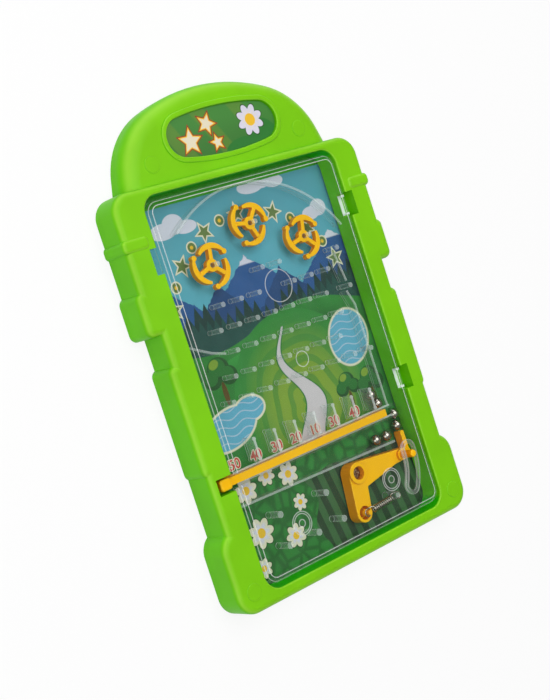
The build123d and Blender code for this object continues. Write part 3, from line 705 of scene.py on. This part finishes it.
def clear_finish(name, tint, haze, edge, power, marks):
    """Clear plastic: light goes straight through, but for a haze, painted highlights and grazing faces."""
    finish = Finish(name)
    spot = finish.place()
    facing = finish.node("ShaderNodeLayerWeight", None, {"Blend": 0.5}, "Facing")
    scuff = finish.noise(spot, 0.12, 4.0)
    rough = finish.step(scuff, 0.35, 0.75, 0.12, 0.26)
    body = finish.principled(tint, Roughness=rough, Specular_IOR_Level=0.5)
    through = finish.node("ShaderNodeBsdfTransparent", None, {"Color": solid_colour(tint)})
    factor = facing**power * edge + finish.step(scuff, 0.3, 0.8, haze * 0.6, haze * 1.4)
    # Painted highlights: the pale marks are added to the share of the plastic's own shader
    factor = finish.math("MINIMUM", factor + marks(finish, *finish.parts(spot)), 0.92)
    return finish.done(finish.node("ShaderNodeMixShader", None, {0: factor, 1: through, 2: body}))


def steel_finish(name, colour, low, high):
    """Bright steel: fine marks change the roughness and the colour a little."""
    finish = Finish(name)
    spot = finish.place()
    marks = finish.noise(spot, 1.6, 5.0, 0.65)
    base = finish.mix(marks, shade(colour, 0.86), shade(colour, 1.06))
    rough = finish.step(marks, 0.3, 0.7, low, high)
    return finish.done(finish.principled(base, Roughness=rough, Metallic=1.0))


def paint_hill(card, look, level, swing, pitch, phase, tone):
    """A rolling hill whose crest is a sine of X, lit along the crest."""
    crest = card.math("SINE", card.x * pitch + phase) * swing + level
    body = card.under(crest, 0.25)
    card.paint(body, shade(look.hill, tone))
    card.paint(body * card.step(crest - card.y, 0.0, 12.0, 0.7, 0.0), shade(look.hill, tone * 1.7))


def paint_farm(card, look):
    """A terraced hill with rings of crops round its top, and a pale path that winds up it and narrows."""
    radius, angle = card.polar(card.local((8.0, -46.0), 8.0, (47.0, 52.0)))
    dome = card.step(radius, 1.006, 0.994)
    card.paint(dome, shade(look.hill, 0.9))
    card.paint(dome * card.step(radius, 0.99, 0.35), look.meadow)
    wave = card.math("SINE", angle * 5.0) * 0.7
    rows = card.step(card.math("SINE", radius * 30.0 + wave), 0.25, 0.6, 0.0, 0.55)
    card.paint(dome * rows, shade(look.hill, 0.85))
    bend = card.math("SINE", card.y * 0.13 + 0.9) * 6.0 - card.y * 0.1 + 2.0
    aside = abs(card.x - bend) - card.step(card.y, -4.0, -66.0, 0.7, 8.5)
    start = card.step(card.y, -2.0, -3.0)
    card.paint(card.step(aside, 1.1, 0.6) * start, shade(look.hill, 0.7))
    card.paint(card.step(aside, 0.3, -0.3) * start, look.path)


def paint_waterside(card, look):
    """Ponds with a light bank and ripples, and round trees of a dark crown, a lit one and a bright lobe."""
    ponds = (
        ((-45.0, -42.0), (17.0, 9.5), 12.0),
        ((-30.0, -36.0), (9.0, 6.0), 0.0),
        ((47.0, -20.0), (13.0, 15.0), -24.0),
    )
    banks = [(spot, (size[0] + 1.2, size[1] + 1.2), turn) for spot, size, turn in ponds]
    card.paint(card.ovals(banks, 0.03), look.cream)
    pool = card.ovals(ponds, 0.03)
    card.paint(pool, look.water)
    ripple = card.math("SINE", card.y * 1.5 + card.math("SINE", card.x * 0.4) * 1.6)
    card.paint(pool * card.step(ripple, 0.8, 0.95, 0.0, 0.45), look.cloud)
    lobes = ((0.0, 0.22, 0.66), (-0.5, -0.2, 0.52), (0.5, -0.2, 0.52))
    layers = ((0.0, 0.0, 1.0, shade(look.hill, 0.3)), (-0.07, 0.1, 0.76, shade(look.hill, 0.62)))
    for tx, ty, size in ((-41.0, -14.0, 10.5), (36.0, -44.0, 8.5), (52.0, -46.0, 9.5)):
        trunk = ((tx, ty - size), (size * 0.15, size * 0.6), 0.0)
        card.paint(card.ovals([trunk]), shade(look.gold, 0.12))
        for across, up, share, tone in layers:
            crown = []
            for dx, dy, lobe in lobes:
                spot = (tx + (dx + across) * size, ty + (dy + up) * size)
                crown.append((spot, (lobe * share * size, lobe * share * size * 0.9), 0.0))
            card.paint(card.ovals(crown, 0.06), tone)
        lit = ((tx - size * 0.2, ty + size * 0.5), (size * 0.3, size * 0.22), 20.0)
        card.paint(card.ovals([lit], 0.12), look.meadow)


def paint_stars(card, look):
    """An arc of stars and rings, olive with a cream edge.

    The angle about the arc's centre is cut into equal steps; in each step the place is measured from the
    middle of the step on the arc, and a star or a ring is drawn there in turn.
    """
    pitch = math.radians(11.5)
    arc = 59.0
    radius, angle = card.polar(card.local((0.0, 2.0), 90.0))
    turn = angle / pitch + 0.5
    number = card.math("FLOOR", turn)
    odd = card.math("PINGPONG", number + 20.0, 1.0)
    aside = (turn - number - 0.5) * (pitch * arc)
    radius, angle = card.polar(card.node("ShaderNodeCombineXYZ", None, {0: radius - arc, 1: aside}))
    star = card.star(radius, angle, 4.6, 2.0, 5)
    ring = 2.5 - radius
    height = star + (ring - star) * odd
    shown = card.step(abs(number), 6.6, 6.4)
    card.paint(card.inside(height, -0.75, 0.15) * shown, look.cream)
    card.paint(card.inside(height, 0.0, 0.15) * shown, look.olive)
    card.paint(card.inside(ring, 1.5, 0.15) * odd * shown, look.gold)


def paper_finish(card):
    """The painted colour with the paper's tooth in its tone, gloss and surface."""
    tooth = card.noise(card.spot, 3.0, 3.0)
    tint = card.mix(card.step(tooth, 0.3, 0.7, 0.0, 0.08), card.colour, (0.02, 0.03, 0.03))
    rough = card.step(tooth, 0.3, 0.7, 0.42, 0.54)
    normal = card.bump(tooth, 0.01)
    return card.done(card.principled(tint, Roughness=rough, Normal=normal, Specular_IOR_Level=0.2))


def sky_picture(look):
    """The card's upper part: sky with clouds and the arc of stars, peaks, woods and the hills' tops."""
    card = Picture("print_sky", look.sky, card_splits[0], card_ends[1])
    x, y = card.x, card.y
    card.paint(card.step(y, 78.0, 24.0), shade(look.sky, 1.22))
    clouds = (
        ((-47.0, 62.0), (8.5, 4.2), 0.0),
        ((-40.0, 64.4), (6.5, 5.2), 0.0),
        ((-33.0, 61.6), (7.0, 3.4), 0.0),
        ((14.0, 72.5), (9.0, 3.8), 0.0),
        ((22.0, 74.5), (7.0, 4.6), 0.0),
        ((30.0, 72.0), (6.5, 3.2), 0.0),
        ((48.0, 50.0), (6.0, 3.6), 0.0),
        ((54.0, 52.0), (5.5, 4.6), 0.0),
    )
    card.paint(card.ovals(clouds), look.cloud)
    # Far peaks with snow, as folded slopes with a broken edge
    rough_edge = (card.noise(card.spot, 0.25, 3.0) - 0.5) * 5.0
    near = card.math("PINGPONG", x + 131.0, 21.0) * 0.95 + 8.0 + rough_edge
    far = card.math("PINGPONG", x + 94.0, 30.0) * 0.8 + 15.0 + rough_edge
    card.paint(card.under(far, 0.3), shade(look.peak, 1.5))
    card.paint(card.under(far, 0.3) * card.step(y, 34.0, 35.0), look.cloud)
    card.paint(card.under(near, 0.3), look.peak)
    # Dark wood of pointed trees
    comb = card.math("PINGPONG", x, 3.1)
    tall = card.math("PINGPONG", x + 11.0, 14.0)
    wood_top = 17.0 - comb * 2.6 - tall * 0.5 + abs(x) * 0.16
    card.paint(card.under(wood_top, 0.25), look.wood)
    comb = card.math("PINGPONG", x + 1.4, 2.3)
    card.paint(card.under(8.0 - comb * 2.4 + abs(x) * 0.14, 0.25), shade(look.wood, 1.7))
    paint_hill(card, look, *card_hills[0])
    paint_farm(card, look)
    paint_waterside(card, look)
    paint_stars(card, look)
    # Painted shade: a green band at the card's top edge, standing in for the case's shaded inner wall
    card.paint(card.step(y, wall_shade_line, wall_shade_line + 0.5), look.margin)
    return paper_finish(card)


def hill_picture(look):
    """The card's middle: hills, the terraced hill with its path, ponds and trees."""
    card = Picture("print_hills", shade(look.hill, 0.6), card_splits[1], card_splits[0])
    for hill in card_hills:
        paint_hill(card, look, *hill)
    paint_farm(card, look)
    paint_waterside(card, look)
    return paper_finish(card)


def lawn_picture(look):
    """The card's foot: a bed of broad leaves, the striped lawn and large blossoms."""
    card = Picture("print_lawn", shade(look.hill, 0.5), card_ends[0], card_splits[1])
    x, y = card.x, card.y
    cells = {"Vector": card.spot, "Scale": 0.13}
    veins = card.node("ShaderNodeTexVoronoi", {"feature": "DISTANCE_TO_EDGE"}, cells)
    card.paint(card.step(veins, 0.02, 0.3), shade(look.hill, 0.95))
    stripes = card.step(card.math("SINE", (x * 0.94 + y * 0.16) * 0.8), -0.15, 0.15)
    lawn = card.under(card.math("SINE", x * 0.2) * 1.5 - 81.0, 0.3)
    card.paint(lawn, look.lawn)
    card.paint(lawn * stripes, shade(look.lawn, 2.7))
    meadow = lawn * card.step(x + card.math("SINE", y * 0.22) * 3.0, -9.0, -10.0)
    card.paint(meadow, shade(look.hill, 0.5))
    card.paint(meadow * card.step(veins, 0.03, 0.22), shade(look.hill, 0.8))
    blooms = (
        (-48.0, -74.0, 7.0, 8.0),
        (-33.5, -71.0, 5.4, 30.0),
        (-20.0, -75.0, 6.4, 14.0),
        (-47.0, -97.0, 8.0, 0.0),
        (-27.0, -106.0, 6.4, 22.0),
        (-52.0, -114.0, 5.2, 10.0),
        (-18.0, -91.0, 4.6, 40.0),
    )
    for bx, by, size, turn in blooms:
        radius, angle = card.polar(card.local((bx, by), turn))
        bloom = card.petals(radius, angle, size, 7, 0.34)
        card.paint(card.inside(bloom, -0.6), shade(look.hill, 0.3))
        card.paint(card.inside(bloom), look.cream)
        card.paint(card.inside(bloom, size * 0.34, size * 0.2), look.cloud)
        card.paint(card.step(radius, size * 0.34, size * 0.3), look.gold)
    return paper_finish(card)


def header_picture(look):
    """The header's print: slanted bars on green, stars at the left and a large blossom at the right."""
    card = Picture("header_print", look.panel, *header_ends)
    x, y = card.x, card.y
    dusk = card.step(y, header_middle + 13.0, header_middle - 13.0, 0.0, 0.75)
    card.paint(dusk, shade(look.panel, 0.62))
    bars = card.math("SINE", (x * 0.86 + y * 0.5) * 0.30)
    card.paint(card.step(bars, 0.1, 0.5, 0.0, 0.35), shade(look.meadow, 0.8))
    leaves = (
        ((20.0, 94.0), (12.0, 4.6), 24.0),
        ((31.0, 97.0), (9.0, 4.0), 128.0),
        ((8.0, 93.5), (9.0, 3.4), 12.0),
    )
    card.paint(card.ovals(leaves, 0.04), shade(look.hill, 0.7))
    radius, angle = card.polar(card.local((19.5, 105.0), 18.0))
    bloom = card.petals(radius, angle, 8.4, 8, 0.34)
    card.paint(card.inside(bloom, -0.6), shade(look.panel, 0.35))
    card.paint(card.inside(bloom), look.cloud)
    folds = card.step(card.math("COSINE", angle * 8.0), 0.9, 0.2, 0.0, 0.5)
    card.paint(card.inside(bloom, 2.2, 0.6) * folds, look.cream)
    card.paint(card.step(radius, 3.4, 3.1), look.gold)
    stars = (((-21.0, 101.0), 6.4, 12.0), ((-8.5, 108.0), 5.0, -8.0), ((-5.0, 97.6), 3.6, 25.0))
    for centre, size, turn in stars:
        radius, angle = card.polar(card.local(centre, turn))
        star = card.star(radius, angle, size, size * 0.46, 5)
        card.paint(card.inside(star, -1.0), shade(look.number, 0.5))
        card.paint(card.inside(star, -0.45), look.gold)
        card.paint(card.inside(star, 0.1), look.cream)
    tooth = card.noise(card.spot, 3.0, 3.0)
    rough = card.step(tooth, 0.3, 0.7, 0.28, 0.36)
    return card.done(card.principled(card.colour, Roughness=rough, Normal=card.bump(tooth, 0.006)))


def ink_finish(name, colour):
    """Printing ink: a flat colour broken a little by the paper's tooth."""
    finish = Finish(name)
    tooth = finish.noise(finish.place(), 3.0, 3.0)
    base = finish.mix(finish.step(tooth, 0.35, 0.7), colour, shade(colour, 0.86))
    return finish.done(finish.principled(base, Roughness=finish.step(tooth, 0.3, 0.7, 0.42, 0.54)))


def studio_world(name, level):
    """The light all round: soft from above, dim at the horizon, and white where the camera sees it."""
    studio = Surround(name)
    path = studio.tree.nodes.new("ShaderNodeLightPath")
    seen = Value(studio, path.outputs["Is Camera Ray"])
    up = studio.parts(studio.node("ShaderNodeTexCoord", output="Generated"))[2]
    tone = studio.mix(studio.step(up, -0.1, 0.9), (0.3, 0.3, 0.3), (1.0, 1.0, 1.0))
    colour = studio.mix(seen, tone, (1.0, 1.0, 1.0))
    strength = seen * (1.0 - level) + level
    return studio.done(studio.node("ShaderNodeBackground", None, {"Color": colour, "Strength": strength}))


class PINBALL_OT_case(bpy.types.Operator):
    """Gives the frame and the back plate their moulded green"""

    bl_idname = "pinball.case"
    bl_label = "Case"

    def execute(self, context):
        look = context.scene.pinball_case
        rough = look.roughness
        # The frame and the back plate get painted shade on upright faces and painted highlight on rounded
        # edges
        sides = (look.flank_shade, look.pale)
        case = moulded_finish("case_green", look.green, *sides, rough, 0.012, 0.12, look.well_shade)
        dress(["front_frame"], case)
        plate = moulded_finish("back_green", look.back, *sides, rough + 0.1, 0.03, 0.16)
        dress(["back_cover"], plate)
        return {"FINISHED"}


class PINBALL_OT_prints(bpy.types.Operator):
    """Lays the printed card under the maze and the printed sheet in the header"""

    bl_idname = "pinball.prints"
    bl_label = "Prints"

    def execute(self, context):
        look = context.scene.pinball_print
        low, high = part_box("playfield_card")
        lift = Vector((0.0, 0.0, 0.02 * mm))
        drop = Vector((0.0, 0.0, 0.08 * mm))
        splits = [split * mm for split in card_splits]
        card = card_piece("field_card", low + lift, high - drop, card_corner * mm, splits)
        for picture in (sky_picture, hill_picture, lawn_picture):
            card.data.materials.append(picture(look))
        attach(card, "case")
        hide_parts("playfield_card")
        low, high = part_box("header_picture")
        middle = ((low.x + high.x) / 2, (low.y + high.y) / 2)
        outline = oval_outline((high.x - low.x) / 2, (high.y - low.y) / 2, middle, oval_end_radius * mm)
        panel = sheet_piece("header_sheet", outline, low.z + 0.02 * mm, high.z)
        panel.data.materials.append(header_picture(look))
        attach(panel, "case")
        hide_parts("header_picture")
        return {"FINISHED"}


class PINBALL_OT_numbers(bpy.types.Operator):
    """Prints the score numbers at the pockets, red with a cream edge"""

    bl_idname = "pinball.numbers"
    bl_label = "Score numbers"

    def execute(self, context):
        look = context.scene.pinball_print
        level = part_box("playfield_card")[1].z
        scores = ("50", "40", "30", "20", "10", "30", "40")
        places = (-49.6, -35.4, -21.2, -7.9, 5.5, 19.5, 34.6)
        rows = [(score, (x * mm, score_line * mm)) for score, x in zip(scores, places)]
        layers = (("number_edges", 0.55, 0.06, look.cream), ("numbers", 0.1, 0.03, look.number))
        for name, grow, drop, colour in layers:
            piece = words_mesh(name, rows, score_size * mm, grow * mm, level - drop * mm, 0.01 * mm)
            piece.data.materials.append(ink_finish(name, colour))
            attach(piece, "case")
        return {"FINISHED"}


class PINBALL_OT_clear(bpy.types.Operator):
    """Lays the clear skins of the cover, the tray and what stands on it"""

    bl_idname = "pinball.clear"
    bl_label = "Clear plastic"

    def execute(self, context):
        tint = context.scene.pinball_piece.clear
        cover = copied_piece("cover_skin", "clear_cover", outer_skin)
        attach(cover, "case")
        # The cover's pale edge lines are painted highlights
        cover.data.materials.append(clear_finish("clear_cover", tint, 0.012, 0.16, 4.0, cover_highlights))
        # The last column gives each skin's painted highlights
        skins = (
            ("tray_skin", "playfield_tray", 0.008, 0.6, upright_highlights(peg_top, 0.24, 0.42)),
            ("peg_skins", "field_pegs", 0.008, 0.6, upright_highlights(peg_top, 0.24, 0.42)),
            ("wall_skins", "maze_walls", 0.008, 0.24, upright_highlights(wall_top, 0.24, 0.25)),
            ("divider_skins", "pocket_dividers", 0.045, 0.5, upright_highlights(divider_top, 0.34, 0.4)),
        )
        for name, node, haze, edge, marks in skins:
            piece = copied_piece(name, node, standing_skin)
            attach(piece, "case")
            piece.data.materials.append(clear_finish(name, tint, haze, edge, 3.0, marks))
        return {"FINISHED"}


class PINBALL_OT_yellow(bpy.types.Operator):
    """Gives the spinners, the gate and the lever their yellow plastic"""

    bl_idname = "pinball.yellow"
    bl_label = "Yellow pieces"

    def execute(self, context):
        look = context.scene.pinball_piece
        # Painted shade in orange on upright faces and a lighter yellow on rounded edges as painted
        # highlight
        material = moulded_finish("yellow", look.yellow, look.amber_shade, look.lemon_highlight, 0.34, 0.01, 0.13)
        dress(["spinner_left", "spinner_centre", "spinner_right", "slide_bar", "launch_lever"], material)
        return {"FINISHED"}


class PINBALL_OT_steel(bpy.types.Operator):
    """Gives the balls and the spring their steel and sets the screws with their cross recesses"""

    bl_idname = "pinball.steel"
    bl_label = "Steel pieces"

    def execute(self, context):
        look = context.scene.pinball_piece
        balls = [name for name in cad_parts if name.endswith("_ball") or "_ball_" in name]
        dress(balls, steel_finish("ball_steel", look.steel, 0.06, 0.16))
        # The spring is copied whole from its solid and its place is baked into its points
        spring = copied_piece("spring_coil", "lever_spring", whole_skin, 75.0)
        spring.data.materials.append(steel_finish("spring_steel", look.steel, 0.2, 0.34))
        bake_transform(spring)
        # The screws' brownish tone is painted reflection of the yellow lever
        screw = steel_finish("screw_steel", look.screw, 0.3, 0.5)
        low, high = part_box("lever_pivot_screw")
        middle = ((low.x + high.x) / 2, (low.y + high.y) / 2)
        radius = (high.x - low.x) / 2
        base = high.z - pivot_head * mm
        head = screw_heads("pivot_screw", [middle], radius, base, high.z, pivot_shank * mm, low.z)
        head.data.materials.append(screw)
        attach(head, "case")
        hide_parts("lever_pivot_screw")
        low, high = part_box("back_screws")
        points = mesh_points(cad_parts["back_screws"].data)
        pitch = screw_cell * mm
        cells = np.unique(np.round(points[:, :2] / pitch), axis=0) * pitch
        groups = [points[np.hypot(*(points[:, :2] - cell).T) < screw_reach * mm] for cell in cells]
        places = {tuple(np.round((g.min(0) + g.max(0))[:2] / 2, 5)) for g in groups if len(g)}
        radius, base = plate_radius * mm, low.z + plate_head * mm
        backs = screw_heads("plate_screws", sorted(places), radius, base, low.z, plate_shank * mm, high.z)
        backs.data.materials.append(screw)
        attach(backs, "case")
        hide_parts("back_screws")
        return {"FINISHED"}


class PINBALL_OT_stage(bpy.types.Operator):
    """Sets the floor, the light and the camera"""

    bl_idname = "pinball.stage"
    bl_label = "Stage"

    def execute(self, context):
        scene = context.scene
        settings = scene.pinball_stage
        scene.view_settings.view_transform = "Standard"
        corners = [(x * floor_reach, y * floor_reach, 0.0) for x, y in ((-1, -1), (1, -1), (1, 1), (-1, 1))]
        floor = build_mesh("floor", corners, [(0, 1, 2, 3)], smooth=False)
        paper = Finish("floor_paper")
        path = paper.tree.nodes.new("ShaderNodeLightPath")
        seen = Value(paper, path.outputs["Is Camera Ray"]) + Value(paper, path.outputs["Is Glossy Ray"])
        seen = seen + Value(paper, path.outputs["Is Transmission Ray"])
        share = paper.math("MINIMUM", seen, 1.0) * floor_white
        grain = paper.noise(paper.place(), 0.4, 2.0)
        tone = paper.mix(grain, (0.86, 0.86, 0.86), (0.9, 0.9, 0.9))
        matt = paper.principled(tone, Roughness=0.9, Specular_IOR_Level=0.1)
        glow = paper.node("ShaderNodeEmission", None, {"Color": (1.0, 1.0, 1.0, 1.0), "Strength": 1.0})
        mixed = paper.node("ShaderNodeMixShader", None, {0: share, 1: matt, 2: glow})
        floor.data.materials.append(paper.done(mixed))
        scene.world = studio_world("studio", settings.sky_level)
        lamps = (
            ("key", settings.lamp_power, 1.1, (-0.08, 0.3, 1.2)),
            ("fill", settings.fill_power, 0.9, (-1.1, -0.2, 0.75)),
            ("rim", settings.rim_power, 0.8, (0.1, 1.25, 0.42)),
        )
        for name, power, size, place in lamps:
            light = bpy.data.lights.new(name, "AREA")
            light.energy = power
            light.size = size
            lamp = bpy.data.objects.new(name, light)
            lamp.location = place
            lamp.rotation_euler = (-Vector(place)).to_track_quat("-Z", "Y").to_euler()
            scene.collection.objects.link(lamp)
        view = Matrix((camera_right, camera_up, -camera_ahead)).transposed().to_4x4()
        view.translation = camera_place
        lens = bpy.data.cameras.new("camera")
        lens.sensor_width = sensor_width
        lens.lens = settings.lens
        camera = bpy.data.objects.new("camera", lens)
        camera.matrix_world = view
        scene.collection.objects.link(camera)
        scene.camera = camera
        return {"FINISHED"}


class PINBALL_PT_panel(bpy.types.Panel):
    """Lists the steps that build the game"""

    bl_label = "Pinball game"
    bl_space_type = "VIEW_3D"
    bl_region_type = "UI"
    bl_category = "Pinball"

    def draw(self, context):
        for step in steps:
            self.layout.operator(step.bl_idname)


groups = {
    "pinball_case": CaseColours,
    "pinball_print": PrintColours,
    "pinball_piece": PieceColours,
    "pinball_stage": StageSettings,
}
steps = (
    PINBALL_OT_case,
    PINBALL_OT_prints,
    PINBALL_OT_numbers,
    PINBALL_OT_clear,
    PINBALL_OT_yellow,
    PINBALL_OT_steel,
    PINBALL_OT_stage,
)


def register():
    """Adds the classes and the scene's settings."""
    for kind in (*groups.values(), *steps, PINBALL_PT_panel):
        bpy.utils.register_class(kind)
    for name, group in groups.items():
        setattr(bpy.types.Scene, name, bpy.props.PointerProperty(type=group))


def unregister():
    """Takes the scene's settings and the classes away."""
    for name in groups:
        delattr(bpy.types.Scene, name)
    for kind in reversed((*groups.values(), *steps, PINBALL_PT_panel)):
        bpy.utils.unregister_class(kind)


def main():
    """Builds the game step by step."""
    register()
    for step in steps:
        group, name = step.bl_idname.split(".")
        getattr(getattr(bpy.ops, group), name)()


if __name__ == "__main__":
    main()
